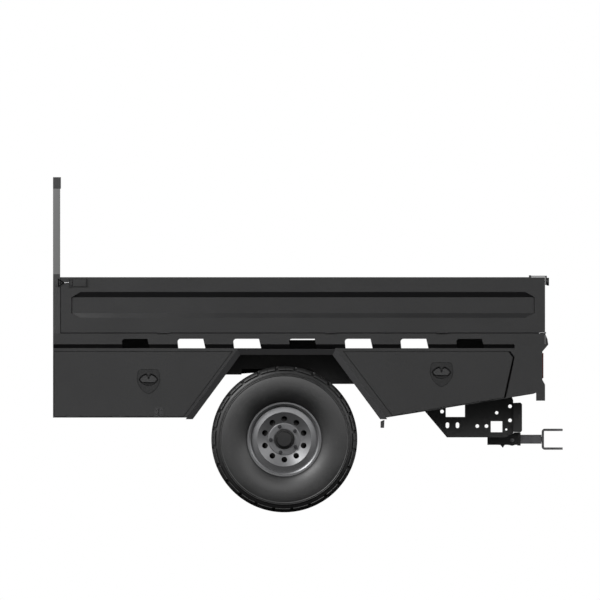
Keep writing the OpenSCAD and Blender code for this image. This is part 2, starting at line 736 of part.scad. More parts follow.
module hitch_beam() {
    c = 9;
    x = plate_end;
    z = beam_low;
    wall = 5;
    outline = [
        [x, z + 2], [x + beam_d - c, z], [x + beam_d, z + c], [x + beam_d, z + beam_h - c],
        [x + beam_d - c, z + beam_h], [x, z + beam_h - 2]
    ];
    color([0.05, 0.05, 0.05])
    difference() {
        slab(-plate_y - beam_over, plate_y + beam_over) polygon(outline);
        // the ends are closed, with a drain hole near each
        slab(wall - plate_y - beam_over, plate_y + beam_over - wall) polygon(inset(outline, wall));
        for (side = [-1, 1])
            translate([x + beam_d / 2, side * (plate_y + beam_over - 25), z - 1])
                cylinder(r = 6, h = 2 * wall);
    }
}
receiver_wall = 6;
shank_gap = 0.5;
receiver_h = shank_w / 2 + shank_gap + receiver_wall; // half the receiver's height
receiver_x = plate_end - 144;
receiver_end = plate_end + 41;
pin_x = plate_end - 7;
pin_z = hitch_z - 6;
hitch_pin_r = 8;
module receiver() {
    lug_r = 30;
    color([0.04, 0.04, 0.04])
    difference() {
        union() {
            block([receiver_x, -receiver_h, hitch_z - receiver_h],
                [receiver_end, receiver_h, hitch_z + receiver_h]);
            // thicker mouth
            block([receiver_end - 18, -receiver_h - 5, hitch_z - receiver_h - 4],
                [receiver_end, receiver_h + 5, hitch_z + receiver_h + 4]);
            // weld pad up to the cross-beam, and cheek plates that carry the pin and the chain hooks
            block([plate_end + 1, -receiver_h, hitch_z],
                [plate_end + beam_d - 12, receiver_h, beam_low]);
            for (side = [-1, 1])
                slab(side * (receiver_h + 4) - 4, side * (receiver_h + 4) + 4)
                    union() {
                        translate([pin_x, pin_z]) circle(r = lug_r);
                        polygon([
                            [receiver_x + 2, hitch_z + 10], [receiver_x + 2, hitch_z - 12],
                            [receiver_x + 18, hitch_z - 30], [receiver_x + 72, hitch_z - 32],
                            [receiver_x + 86, hitch_z - 48], [receiver_x + 98, hitch_z - 30],
                            [pin_x, pin_z - lug_r + 1], [pin_x + 10, hitch_z + 22],
                            [plate_end - 42, hitch_z + 10]
                        ]);
                    }
        }
        block([receiver_x - 1, -shank_w / 2 - shank_gap, hitch_z - shank_w / 2 - shank_gap],
            [receiver_end + 1, shank_w / 2 + shank_gap, hitch_z + shank_w / 2 + shank_gap]);
        rod_y(pin_x, -2 * receiver_h, pin_z, hitch_pin_r + 0.3, 4 * receiver_h);
    }
}
fork_x = x1 - 19; // fork's web, on the drawbar side
swivel_r = 14;
swivel_l = 70;
module drawbar_shank() {
    color([0.35, 0.35, 0.35])
    difference() {
        block([receiver_x + 10, -shank_w / 2, hitch_z - shank_w / 2],
            [fork_x - 1, shank_w / 2, hitch_z + shank_w / 2]);
        rod_y(pin_x, -shank_w, pin_z, hitch_pin_r + 0.3, 2 * shank_w);
        rod_x(fork_x - swivel_l - 2, 0, hitch_z, swivel_r + run_gap, swivel_l + 4);
    }
}
module hitch_pin() {
    out = receiver_h + 8;
    color([0.5, 0.5, 0.5]) {
        rod_y(pin_x, -out - 22, pin_z, hitch_pin_r, 2 * out + 34);
        // the head on the left, and the clip's ring on the right
        rod_y(pin_x, out + 1, pin_z, hitch_pin_r + 5, 9);
        rod_y(pin_x, -out - 14, pin_z, hitch_pin_r + 4, 4);
    }
}
fork_w = 64;
function fork_outline(d) = let (z = fork_h / 2 - d, x = fork_x + d, r = 17 - d) concat(
    [for (t = [0:15:90]) [x + r - r * cos(t), hitch_z + z - r + r * sin(t)]],
    [[overall_l / 2 + (d > 0 ? 1 : 0), hitch_z + z], [overall_l / 2 + (d > 0 ? 1 : 0), hitch_z - z]],
    [for (t = [0:15:90]) [x + r - r * sin(t), hitch_z - z + r - r * cos(t)]]
);
tow_x = overall_l / 2 - fork_w / 2;
module clevis_fork() {
    color([0.45, 0.45, 0.45])
    difference() {
        union() {
            intersection() {
                slab(-fork_w / 2, fork_w / 2)
                    difference() {
                        polygon(fork_outline(0));
                        polygon(fork_outline(fork_t));
                    }
                // the ears end round, about the tow pin
                translate([0, 0, hitch_z - fork_h])
                    linear_extrude(2 * fork_h) {
                        translate([tow_x, 0]) circle(r = fork_w / 2);
                        translate([fork_x - 1, -fork_w / 2]) square([tow_x - fork_x + 1, fork_w]);
                    }
            }
            rod_x(fork_x - swivel_l, 0, hitch_z, swivel_r, swivel_l + 2);
        }
        translate([tow_x, 0, hitch_z - fork_h]) cylinder(r = tow_r, h = 2 * fork_h);
    }
}

// ---- axle and wheels ----
arm_reach = 145; // trailing arm's length along the cart
arm_drop = 52; // and down to the spindle
pivot_x = axle_x + arm_reach;
pivot_z = axle_z + arm_drop;
tube_half = 42; // half the axle tube's side
arm_y = tyre_y - 194; // inner face of an arm
arm_t = 30;
shaft_r = 26;
module torsion_axle() {
    riser_t = 10;
    color([0.03, 0.03, 0.03]) {
        difference() {
            block([pivot_x - tube_half, -arm_y + 2, pivot_z - tube_half],
                [pivot_x + tube_half, arm_y - 2, pivot_z + tube_half]);
            rod_y(pivot_x, -arm_y, pivot_z, shaft_r + run_gap, 2 * arm_y);
        }
        // risers up to the chassis rails
        for (left = [true, false], y = [rail_y - rail_flange, rail_y - riser_t]) on_side(left)
            slab(y, y + riser_t)
                polygon([
                    [pivot_x - 60, pivot_z + tube_half], [pivot_x + 60, pivot_z + tube_half],
                    [kick_front + 95, frame_z - rail_deep], [kick_front + 60, frame_z - rail_deep],
                    [kick_front, frame_z - over_axle], [kick_front - 70, frame_z - over_axle]
                ]);
    }
}
module torsion_arm() {
    shaft_l = 150;
    color([0.06, 0.06, 0.06])
    union() {
        slab(arm_y, arm_y + arm_t)
            polygon([
                for (t = [-40:20:120]) [pivot_x + 44 * cos(t), pivot_z + 44 * sin(t)],
                for (t = [120:20:320]) [axle_x + 40 * cos(t), axle_z + 40 * sin(t)]
            ]);
        rod_y(pivot_x, arm_y - shaft_l, pivot_z, shaft_r, shaft_l + 1);
        rod_y(axle_x, arm_y + arm_t - 1, axle_z, spindle_r + 8, 71);
        rod_y(axle_x, arm_y + arm_t + 69, axle_z, spindle_r, 100);
    }
}
rim_r = rim_d / 2;
flange_r = rim_r + 16;
disc_y = tyre_y + 66; // outer face of the wheel disc's bolt circle
disc_t = 8;
hub_in = arm_y + arm_t + 12; // inner end of the hub
inner_seat = arm_y + arm_t + 60; // shoulder between the two bearings
hub_nose = disc_y + 12;
bore_r = 55; // wheel's centre bore
module hub() {
    color([0.12, 0.12, 0.12])
    turned_y(axle_x, axle_z) difference() {
        polygon([
            [44, hub_in], [62, hub_in], [62, disc_y - disc_t - 60], [118, disc_y - disc_t - 60],
            [118, disc_y - disc_t - 14], [95, disc_y - disc_t], [bore_r - 1, disc_y - disc_t],
            [bore_r - 1, hub_nose], [40, hub_nose], [40, inner_seat + 30], [44, inner_seat + 30]
        ]);
    }
    // bearing rings, a pair on the large seat and one on the small seat
    color([0.6, 0.6, 0.6]) {
        turned_y(axle_x, axle_z)
            polygon(box_outline([spindle_r + 8 + run_gap, hub_in + 6], [44 - ring_gap, hub_in + 30]));
        turned_y(axle_x, axle_z)
            polygon(box_outline([spindle_r + run_gap, inner_seat + 52], [40 - ring_gap, inner_seat + 74]));
    }
}
// The rim's section: barrel, drop centre and two flanges
module rim() {
    half = 108;
    a = tyre_y;
    color([0.55, 0.55, 0.57])
    difference() {
        union() {
            turned_y(axle_x, axle_z) polygon([
                [flange_r, a + half], [flange_r, a + half - 6], [rim_r, a + half - 10],
                [rim_r - 2, a + half - 44],
                [rim_r - 26, a + half - 66], [rim_r - 26, a - half + 66], [rim_r - 2, a - half + 44],
                [rim_r, a - half + 10], [flange_r, a - half + 6], [flange_r, a - half], [rim_r - 6, a - half],
                [rim_r - 8, a - half + 46], [rim_r - 32, a - half + 70], [rim_r - 32, a + half - 72],
                [rim_r - 9, a + half - 46], [rim_r - 8, a + half - 24], [rim_r - 3.5, a + half - 18],
                [rim_r - 2.5, a + half - 8], [rim_r + 5.5, a + half - 4], [rim_r + 6.5, a + half]
            ]);
            // disc: a flat bolt circle, then a shallow cone out to a step inside the barrel
            turned_y(axle_x, axle_z) polygon([
                [bore_r, disc_y - disc_t], [96, disc_y - disc_t], [146, disc_y + 11],
                [153, disc_y + 12], [rim_r - 13.5, disc_y + 8], [rim_r - 6.5, disc_y + 2],
                [rim_r - 6.5, disc_y + 12], [rim_r - 12.5, disc_y + 14], [156, disc_y + 18.5],
                [151, disc_y + 20], [96, disc_y - 1], [90, disc_y - 2], [86, disc_y],
                [bore_r + 6, disc_y], [bore_r, disc_y - 3]
            ]);
        }
        for (i = [0:9])
            rotate_about_axle(36 * i) rod_y(axle_x, disc_y - 60, axle_z + 113, 16, 100);
        for (i = [0:4])
            rotate_about_axle(72 * i - 20) rod_y(axle_x, disc_y - 60, axle_z + stud_pcd / 2, 7.6, 80);
    }
}
module rotate_about_axle(a)
    translate([axle_x, 0, axle_z]) rotate([0, a, 0]) translate([-axle_x, 0, -axle_z]) children();
module lug_nuts() {
    color([0.03, 0.03, 0.03])
    for (i = [0:4])
        rotate_about_axle(72 * i - 20) {
            rod_y(axle_x, disc_y - disc_t + 0.2, axle_z + stud_pcd / 2, 7.4, disc_t + 14);
            translate([axle_x, disc_y + 0.2, axle_z + stud_pcd / 2])
                rotate([-90, 0, 0]) difference() {
                    cylinder(r = 11.5, h = 13, $fn = 6);
                    translate([0, 0, -1]) cylinder(r = 7.4, h = 15);
                }
        }
}
module hub_cap() {
    color([0.08, 0.08, 0.08])
    turned_y(axle_x, axle_z) polygon([
        [0, hub_nose + 26], [0, hub_nose + 30], [40, hub_nose + 29], [46, hub_nose + 23],
        [46, hub_nose + 0.2],
        [41, hub_nose + 0.2], [41, hub_nose + 21], [37, hub_nose + 25]
    ]);
}
module tyre() {
    r = tyre_d / 2;
    h = tyre_w / 2;
    a = tyre_y;
    bead = rim_r + 0.3;
    mid_r = (r + flange_r) / 2 - 6;
    side_r = (r - flange_r) * 0.45;
    wall = 14;
    side = [for (t = [-80:13:50]) [mid_r + side_r * sin(t), h - 34 + 34 * cos(t)]];
    inside = [for (t = [-80:26:50]) [mid_r + (side_r - wall) * sin(t), h - 34 - wall + 34 * cos(t)]];
    color([0.03, 0.03, 0.03])
    turned_y(axle_x, axle_z) polygon(concat(
        [[bead, a + 70], [bead, a + 97], [flange_r + 0.5, a + 101.4], [flange_r + 0.5, a + 108.5]],
        [for (p = side) [p[0], a + p[1]]],
        [[r - 14, a + h - 20], [r, a + h - 42], [r, a - h + 42], [r - 14, a - h + 20]],
        [for (p = reversed(side)) [p[0], a - p[1]]],
        [
            [flange_r + 0.5, a - 108.5], [flange_r + 0.5, a - 101.4], [bead, a - 97],
            [bead, a - 70], [bead + 12, a - 78]
        ],
        [for (p = inside) [p[0], a - p[1]]],
        [[r - 24, a - h + 60], [r - 24, a + h - 60]],
        [for (p = reversed(inside)) [p[0], a + p[1]]],
        [[bead + 12, a + 78]]
    ));
}

// ---- drop sides and tailgate ----
// A pressed panel, length l, from x 0 to l, its outer face at Y hw and its hinge below it
module press_cone(a, b, grow, depth)
    hull() {
        slab(hw - 0.02 - depth, hw - depth) polygon(inset(b, -grow));
        slab(hw - 0.01, hw + 0.02) polygon(inset(a, -grow));
    }
module pressed_panel(l, places) {
    z0 = deck_z + side_gap - 1;
    z1 = deck_z + side_h + 5;
    low = z0 + 82;
    high = z1 - 82;
    end = 58;
    cut = 52;
    outer = [
        [end + cut, low], [l - end - cut, low], [l - end, low + 26], [l - end, high - 30],
        [l - end - cut, high], [end + cut, high], [end, high - 30], [end, low + 26]
    ];
    inner = box_outline([end + 5, low + 26], [l - end - 5, high - 30]);
    skin = 3;
    rib_n = floor(l / 420);
    difference() {
        union() {
            difference() {
                union() {
                    difference() {
                        slab(hw - side_t, hw) polygon(box_outline([0, z0], [l, z1]));
                        slab(hw - side_t - eps, hw - skin)
                            polygon(box_outline([skin, z0 + skin], [l - skin, z1 - skin]));
                        slab(hw - skin - eps, hw + eps) polygon(outer);
                    }
                    // ribs behind the skin
                    for (i = [1:rib_n - 1])
                        block([i * l / rib_n - 2, hw - side_t + 2, z0 + skin - 0.5],
                            [i * l / rib_n + 2, hw - skin + 0.5, z1 - skin + 0.5]);
                    press_cone(outer, inner, skin, press_d + skin);
                }
                press_cone(outer, inner, 0, press_d);
            }
            for (x = places) rod_x(x - knuckle_l / 2, hw + hinge_out, hinge_z, knuckle_r, knuckle_l);
        }
        for (x = places) {
            for (side = [-1, 1])
                rod_x(x + lug_start(side) - 1, hw + hinge_out, hinge_z, knuckle_r + turn_gap, lug_l + 2);
            rod_x(x - knuckle_l, hw + hinge_out, hinge_z, pin_r + run_gap, 2 * knuckle_l);
        }
    }
}
side_x = x0 + 44; // headboard end of a drop side
side_l = tray_l - 44;
module dropside() {
    color([0.05, 0.05, 0.055]) {
        translate([side_x, 0, 0]) pressed_panel(side_l, [for (x = side_hinge_x) x - side_x]);
        latch_base();
        hasp_ears();
    }
}
gate_l = tray_w - 2 * side_t - 8;
module tailgate() {
    color([0.05, 0.05, 0.055])
    at_tailgate(gate_l / 2)
        pressed_panel(gate_l, [for (y = tail_hinge_y) gate_l / 2 + y]);
}

// ---- latches ----
lever_l = 96;
lever_x = x0 + 94; // pivot of a latch lever
lever_y = hw + 8;
latch_travel = 10; // how far the hook moves when the lever is thrown
// Base plate with two ears for the lever's pin, welded to the drop side
module latch_base()
    difference() {
        union() {
            block([lever_x - 16, hw - 0.5, latch_z - 22], [lever_x + 14, hw + 2.5, latch_z + 22]);
            for (z = [latch_z - 22, latch_z + 16])
                block([lever_x - 8, hw + 2, z], [lever_x + 8, hw + 14, z + 6]);
        }
        translate([lever_x, lever_y, latch_z - 30]) cylinder(r = 3 + run_gap, h = 60);
    }
// The pull rod and its triangular hook
module latch_hook() {
    color([0.6, 0.6, 0.6])
    rod_x(x0 + 59, hw + 6, latch_z, 2.4, lever_x - 6 - x0 - 59);
    color([0.03, 0.03, 0.03])
    slab(hw + 3.6, hw + 8.4)
        difference() {
            translate([x0 + 28, latch_z]) polygon([[0, 24], [0, -24], [34, -3], [34, 3]]);
            translate([x0 + 28, latch_z]) polygon([[5, 15], [5, -15], [25, -1.5], [25, 1.5]]);
        }
}
module latch_lever() {
    color([0.05, 0.05, 0.055]) {
        block([lever_x + 13, hw + 4, latch_z - 22], [lever_x + lever_l, hw + 8, latch_z + 22]);
        block([lever_x + lever_l - 5, hw + 4, latch_z - 22], [lever_x + lever_l, hw + 15, latch_z + 22]);
        block([lever_x, hw + 4, latch_z - 15], [lever_x + 14, hw + 12, latch_z + 15]);
        translate([lever_x, lever_y, latch_z - 15]) cylinder(r = 5, h = 30);
    }
    color([0.5, 0.5, 0.5]) translate([lever_x, lever_y, latch_z - 24]) cylinder(r = 3, h = 48);
}
hasp_x = x1 - 84; // pivot of a corner hasp
hasp_y = hw - side_t / 2;
gate_top = deck_z + side_h + 5;
hasp_z = gate_top + 6;
module hasp_ears()
    difference() {
        for (side = [-1, 1])
            translate([hasp_x - 6, hasp_y + side * 10 - 2, gate_top - 1]) cube([12, 4, 11.5]);
        rod_y(hasp_x, hasp_y - 20, hasp_z, 3 + run_gap, 40);
    }
// A strap over the drop side's corner, with a turned-down nose and a round grip
module gate_latch() {
    color([0.03, 0.03, 0.03]) {
        block([hasp_x, hasp_y - 7, gate_top + 2.5], [hasp_x + 11, hasp_y + 7, gate_top + 8]);
        block([hasp_x + 10, hasp_y - 12, gate_top + 2.5], [x1 + 10, hasp_y + 12, gate_top + 8]);
        block([x1 + 1, hasp_y - 12, gate_top - 44], [x1 + 10, hasp_y + 12, gate_top + 8]);
        rod_x(x1 + 9, hasp_y, gate_top - 25, 22, 13);
        rod_y(hasp_x, hasp_y - 7, hasp_z, 5, 14);
        rod_y(hasp_x, hasp_y - 13, hasp_z, 3, 26);
    }
}

// ---- fasteners ----
hinge_pin_l = knuckle_l + 2 * lug_l;
module pins_and_bolts() {
    color([0.25, 0.25, 0.25]) {
        for (left = [true, false]) on_side(left) {
            for (x = side_hinge_x)
                rod_x(x - hinge_pin_l / 2, hw + hinge_out, hinge_z, pin_r, hinge_pin_l);
            door_pins(rear_opening());
            door_pins(front_opening());
        }
        for (y = tail_hinge_y)
            at_tailgate(y) rod_x(-hinge_pin_l / 2, hw + hinge_out, hinge_z, pin_r, hinge_pin_l);
    }
    // bolts through the side plates and the chassis rails
    color([0.3, 0.3, 0.3])
    for (left = [true, false], i = [0:3]) on_side(left)
        translate([plate_end - 330 + 60 * i, plate_y, frame_z - rail_deep + 35])
            rotate([-90, 0, 0]) cylinder(r = 12, h = 8, $fn = 6);
}

on_side(true) chassis_rail();  // chassis_rail_left
on_side(false) chassis_rail();  // chassis_rail_right
frame_cross_tubes();
cross_bearers();
deck_planks();
on_side(true) side_rail();  // side_rail_left
on_side(false) side_rail();  // side_rail_right
end_rails();
headboard_frame();
headboard_panel();
headboard_bars();
corner_skirts();
tail_lamps();
wheel_arches();
on_side(true) rear_tool_box();  // box_rear_left
on_side(false) rear_tool_box();  // box_rear_right
on_side(true) front_tool_box();  // box_front_left
on_side(false) front_tool_box();  // box_front_right
mud_flaps();
hitch_plates();
hitch_beam();
receiver();
drawbar_shank();
hitch_pin();
torsion_axle();
pins_and_bolts();
clevis_fork();
on_side(true) torsion_arm();  // torsion_arm_left
on_side(false) torsion_arm();  // torsion_arm_right
on_side(true) hub();  // hub_left
on_side(false) hub();  // hub_right
on_side(true) rim();  // rim_left
on_side(false) rim();  // rim_right
on_side(true) tyre();  // tyre_left
on_side(false) tyre();  // tyre_right
on_side(true) lug_nuts();  // lug_nuts_left
on_side(false) lug_nuts();  // lug_nuts_right
on_side(true) hub_cap();  // hub_cap_left
on_side(false) hub_cap();  // hub_cap_right
on_side(true) dropside();  // dropside_left
on_side(false) dropside();  // dropside_right
tailgate();
on_side(true) latch_hook();  // latch_hook_left
on_side(false) latch_hook();  // latch_hook_right
on_side(true) latch_lever();  // latch_lever_left
on_side(false) latch_lever();  // latch_lever_right
on_side(true) gate_latch();  // gate_latch_left
on_side(false) gate_latch();  // gate_latch_right
on_side(true) rear_door();  // door_rear_left
on_side(false) rear_door();  // door_rear_right
on_side(true) front_door();  // door_front_left
on_side(false) front_door();  // door_front_right
on_side(true) lock_dish(rear_lock);  // lock_dish_rear_left
on_side(false) lock_dish(rear_lock);  // lock_dish_rear_right
on_side(true) lock_dish(front_lock);  // lock_dish_front_left
on_side(false) lock_dish(front_lock);  // lock_dish_front_right
on_side(true) lock_handle(rear_lock);  // lock_handle_rear_left
on_side(false) lock_handle(rear_lock);  // lock_handle_rear_right
on_side(true) lock_handle(front_lock);  // lock_handle_front_left
on_side(false) lock_handle(front_lock);  // lock_handle_front_right
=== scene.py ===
"""Looks for the tow behind cart: materials, tyres, locks, small trim, floor, lights and camera."""
import json
import math

import bmesh
import bpy
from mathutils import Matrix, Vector


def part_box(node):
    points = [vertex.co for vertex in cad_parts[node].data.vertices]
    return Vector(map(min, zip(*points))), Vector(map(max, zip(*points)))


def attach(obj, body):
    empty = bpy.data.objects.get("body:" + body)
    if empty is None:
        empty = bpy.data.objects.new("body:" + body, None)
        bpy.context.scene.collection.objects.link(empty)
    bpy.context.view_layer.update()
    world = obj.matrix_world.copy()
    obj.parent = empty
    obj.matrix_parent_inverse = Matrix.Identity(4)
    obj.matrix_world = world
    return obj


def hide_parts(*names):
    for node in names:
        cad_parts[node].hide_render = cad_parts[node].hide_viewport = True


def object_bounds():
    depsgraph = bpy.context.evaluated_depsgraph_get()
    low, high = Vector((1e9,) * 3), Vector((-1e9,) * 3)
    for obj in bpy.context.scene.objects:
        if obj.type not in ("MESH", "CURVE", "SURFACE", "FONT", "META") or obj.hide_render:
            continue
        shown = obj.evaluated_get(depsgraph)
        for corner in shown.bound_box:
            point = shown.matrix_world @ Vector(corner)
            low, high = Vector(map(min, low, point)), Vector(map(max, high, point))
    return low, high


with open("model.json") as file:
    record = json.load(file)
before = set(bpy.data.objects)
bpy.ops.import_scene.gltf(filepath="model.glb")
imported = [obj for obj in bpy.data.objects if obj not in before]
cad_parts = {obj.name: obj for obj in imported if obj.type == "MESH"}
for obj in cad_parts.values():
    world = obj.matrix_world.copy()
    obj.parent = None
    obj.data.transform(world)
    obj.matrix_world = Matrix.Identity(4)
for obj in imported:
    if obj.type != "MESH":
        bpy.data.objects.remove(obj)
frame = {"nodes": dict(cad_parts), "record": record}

MM = 0.001
cad_low, cad_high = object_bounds()
nodes = frame["nodes"]
scene = bpy.context.scene


# ---------------------------------------------------------------- node helpers
class Shader:
    """A node tree under construction; every helper returns an output socket."""

    def __init__(self, name):
        self.mat = bpy.data.materials.new(name)
        self.mat.use_nodes = True
        self.tree = self.mat.node_tree
        self.tree.nodes.clear()
        self.out = self.new("ShaderNodeOutputMaterial")
        self.bsdf = self.new("ShaderNodeBsdfPrincipled")
        self.link(self.bsdf.outputs[0], self.out.inputs[0])
        self.coord = self.new("ShaderNodeTexCoord").outputs["Object"]

    def new(self, kind, **values):
        node = self.tree.nodes.new(kind)
        for key, value in values.items():
            setattr(node, key, value)
        return node

    def link(self, a, b):
        self.tree.links.new(a, b)

    def put(self, socket, value):
        if isinstance(value, bpy.types.NodeSocket):
            self.link(value, socket)
        elif isinstance(value, (tuple, list)) and len(value) == 3 and socket.type == "RGBA":
            socket.default_value = (*value, 1)
        else:
            socket.default_value = value

    def scaled(self, scale):
        node = self.new("ShaderNodeMapping")
        self.link(self.coord, node.inputs["Vector"])
        node.inputs["Scale"].default_value = scale
        return node.outputs[0]

    def noise(self, scale, detail=3.0, rough=0.55, vector=None, distortion=0.0):
        node = self.new("ShaderNodeTexNoise")
        self.link(vector or self.coord, node.inputs["Vector"])
        node.inputs["Scale"].default_value = scale
        node.inputs["Detail"].default_value = detail
        node.inputs["Roughness"].default_value = rough
        node.inputs["Distortion"].default_value = distortion
        return node.outputs["Fac"]

    def cells(self, scale, vector=None):
        node = self.new("ShaderNodeTexVoronoi")
        self.link(vector or self.coord, node.inputs["Vector"])
        node.inputs["Scale"].default_value = scale
        return node.outputs["Distance"]

    def ramp(self, value, low, high, to_low=0.0, to_high=1.0):
        node = self.new("ShaderNodeMapRange", interpolation_type="SMOOTHSTEP")
        self.put(node.inputs["Value"], value)
        node.inputs["From Min"].default_value = low
        node.inputs["From Max"].default_value = high
        node.inputs["To Min"].default_value = to_low
        node.inputs["To Max"].default_value = to_high
        return node.outputs[0]

    def math(self, operation, a, b=0.0):
        node = self.new("ShaderNodeMath", operation=operation)
        self.put(node.inputs[0], a)
        self.put(node.inputs[1], b)
        return node.outputs[0]

    def mix(self, factor, a, b):
        node = self.new("ShaderNodeMix", data_type="RGBA")
        self.put(node.inputs["Factor"], factor)
        self.put(node.inputs[6], a)
        self.put(node.inputs[7], b)
        return node.outputs[2]

    def up(self):
        """How far the surface faces up, from -1 to 1."""
        node = self.new("ShaderNodeSeparateXYZ")
        self.link(self.new("ShaderNodeNewGeometry").outputs["Normal"], node.inputs[0])
        return node.outputs["Z"]

    def edges(self, radius, low=0.02, high=0.3):
        """1 on sharp edges, 0 on flats."""
        bevel = self.new("ShaderNodeBevel", samples=4)
        bevel.inputs["Radius"].default_value = radius
        dot = self.new("ShaderNodeVectorMath", operation="DOT_PRODUCT")
        self.link(bevel.outputs[0], dot.inputs[0])
        self.link(self.new("ShaderNodeNewGeometry").outputs["Normal"], dot.inputs[1])
        return self.ramp(self.math("SUBTRACT", 1.0, dot.outputs["Value"]), low, high)

    def bump(self, height, distance, strength=1.0, under=None):
        node = self.new("ShaderNodeBump")
        node.inputs["Strength"].default_value = strength
        node.inputs["Distance"].default_value = distance
        self.link(height, node.inputs["Height"])
        if under:
            self.link(under, node.inputs["Normal"])
        return node.outputs[0]

    def finish(self, colour, rough, normal=None, **values):
        self.put(self.bsdf.inputs["Base Color"], colour)
        self.put(self.bsdf.inputs["Roughness"], rough)
        if normal:
            self.link(normal, self.bsdf.inputs["Normal"])
        for key, value in values.items():
            self.bsdf.inputs[key.replace("_", " ")].default_value = value
        return self.mat


def shade(colour, factor):
    return tuple(c * factor for c in colour)


def powder_coat(name, colour, rough=0.30, worn=0.35, specular=0.62):
    """Fine-textured powder coat: an orange-peel grain, faint blotches, dust on top and rubbed edges."""
    s = Shader(name)
    grain = s.noise(620, 4, 0.7)
    blotch = s.noise(5.0, 5, 0.6)
    speck = s.noise(95, 3, 0.6)
    base = s.mix(s.ramp(grain, 0.3, 0.7), shade(colour, 0.84), shade(colour, 1.16))
    base = s.mix(s.ramp(blotch, 0.35, 0.7, 0, 0.15), base, shade(colour, 0.85))
    rub = s.math("MULTIPLY", s.edges(1.6 * MM), s.ramp(speck, 0.35, 0.65, 0.25, 1.0))
    base = s.mix(s.math("MULTIPLY", rub, worn), base, shade(colour, 3.0))
    dust = s.math("MULTIPLY", s.ramp(s.up(), 0.75, 1.0), s.ramp(s.noise(14, 5, 0.7), 0.35, 0.75, 0.0, 0.10))
    base = s.mix(dust, base, (0.20, 0.19, 0.17))
    roughness = s.math("ADD", s.ramp(blotch, 0.3, 0.7, rough - 0.012, rough + 0.015),
                       s.ramp(speck, 0.3, 0.7, -0.008, 0.008))
    return s.finish(base, roughness, s.bump(grain, 0.05 * MM, 0.2), Specular_IOR_Level=specular)


def moulded(name, colour, rough):
    """Moulded black plastic with a fine spark-eroded texture."""
    s = Shader(name)
    grain = s.noise(1500, 3, 0.6)
    base = s.mix(s.ramp(s.noise(40, 4), 0.3, 0.7), shade(colour, 0.8), shade(colour, 1.25))
    base = s.mix(s.math("MULTIPLY", s.edges(1.2 * MM), 0.35), base, shade(colour, 2.2))
    return s.finish(base, s.ramp(grain, 0.3, 0.7, rough - 0.08, rough + 0.1), s.bump(grain, 0.12 * MM, 0.5),
                    Specular_IOR_Level=0.45)


def bare_metal(name, colour, rough, scale=(60, 1500, 1500), metallic=1.0):
    """Drawn or plated steel: fine lines along X, dull spots and darker stains."""
    s = Shader(name)
    lines = s.noise(1.0, 4, 0.7, s.scaled(scale))
    stain = s.noise(22, 6, 0.65)
    base = s.mix(s.ramp(lines, 0.3, 0.7), shade(colour, 0.82), shade(colour, 1.12))
    base = s.mix(s.ramp(stain, 0.52, 0.75, 0, 0.45), base, shade(colour, 0.5))
    roughness = s.math("ADD", s.ramp(lines, 0.3, 0.7, rough - 0.06, rough + 0.06),
                       s.ramp(stain, 0.5, 0.75, 0, 0.14))
    return s.finish(base, roughness, s.bump(lines, 0.05 * MM, 0.6), Metallic=metallic)


def painted_wheel(name, colour):
    """Silver wheel enamel: metal flake, an orange-peel surface, and patches of brake dust."""
    s = Shader(name)
    flake = s.cells(2600)
    peel = s.noise(240, 3, 0.5)
    grime = s.noise(38, 6, 0.7)
    base = s.mix(s.ramp(flake, 0.1, 0.7), shade(colour, 1.08), shade(colour, 0.86))
    base = s.mix(s.ramp(grime, 0.5, 0.8, 0, 0.35), base, shade(colour, 0.55))
    roughness = s.math("ADD", s.ramp(peel, 0.3, 0.7, 0.34, 0.39), s.ramp(grime, 0.5, 0.8, 0.0, 0.08))
    normal = s.bump(peel, 0.04 * MM, 0.25, s.bump(flake, 0.01 * MM, 0.15))
    return s.finish(base, roughness, normal, Metallic=0.7)


def tyre_rubber(name):
    """Black rubber: soft bloom, fine pores, and dust that has settled in the grooves."""
    s = Shader(name)
    pores = s.noise(900, 3, 0.6)
    bloom = s.noise(7, 5, 0.6)
    mid = s.noise(120, 4, 0.6)
    colour = (0.009, 0.009, 0.0092)
    base = s.mix(s.ramp(bloom, 0.3, 0.7), shade(colour, 0.82), shade(colour, 1.25))
    base = s.mix(s.ramp(mid, 0.55, 0.8, 0, 0.4), base, (0.055, 0.052, 0.048))
    base = s.mix(s.math("MULTIPLY", s.edges(1.5 * MM), 0.4), base, (0.075, 0.073, 0.07))
    roughness = s.math("ADD", s.ramp(bloom, 0.3, 0.7, 0.42, 0.50), s.ramp(mid, 0.3, 0.7, -0.03, 0.04))
    normal = s.bump(mid, 0.16 * MM, 0.3, s.bump(pores, 0.08 * MM, 0.4))
    return s.finish(base, roughness, normal, Specular_IOR_Level=0.66)


def lens(name, colour):
    """A ribbed signal lens over a reflector."""
    s = Shader(name)
    cell = s.cells(160, s.scaled((0.4, 1, 1)))
    base = s.mix(s.ramp(cell, 0.1, 0.6), shade(colour, 1.4), shade(colour, 0.6))
    base = s.mix(s.ramp(s.noise(30, 4), 0.55, 0.8, 0, 0.3), base, shade(colour, 0.4))
    return s.finish(base, s.ramp(cell, 0.0, 0.6, 0.08, 0.2), s.bump(cell, 0.6 * MM, 0.5),
                    Specular_IOR_Level=0.6, Coat_Weight=0.6, Coat_Roughness=0.05)


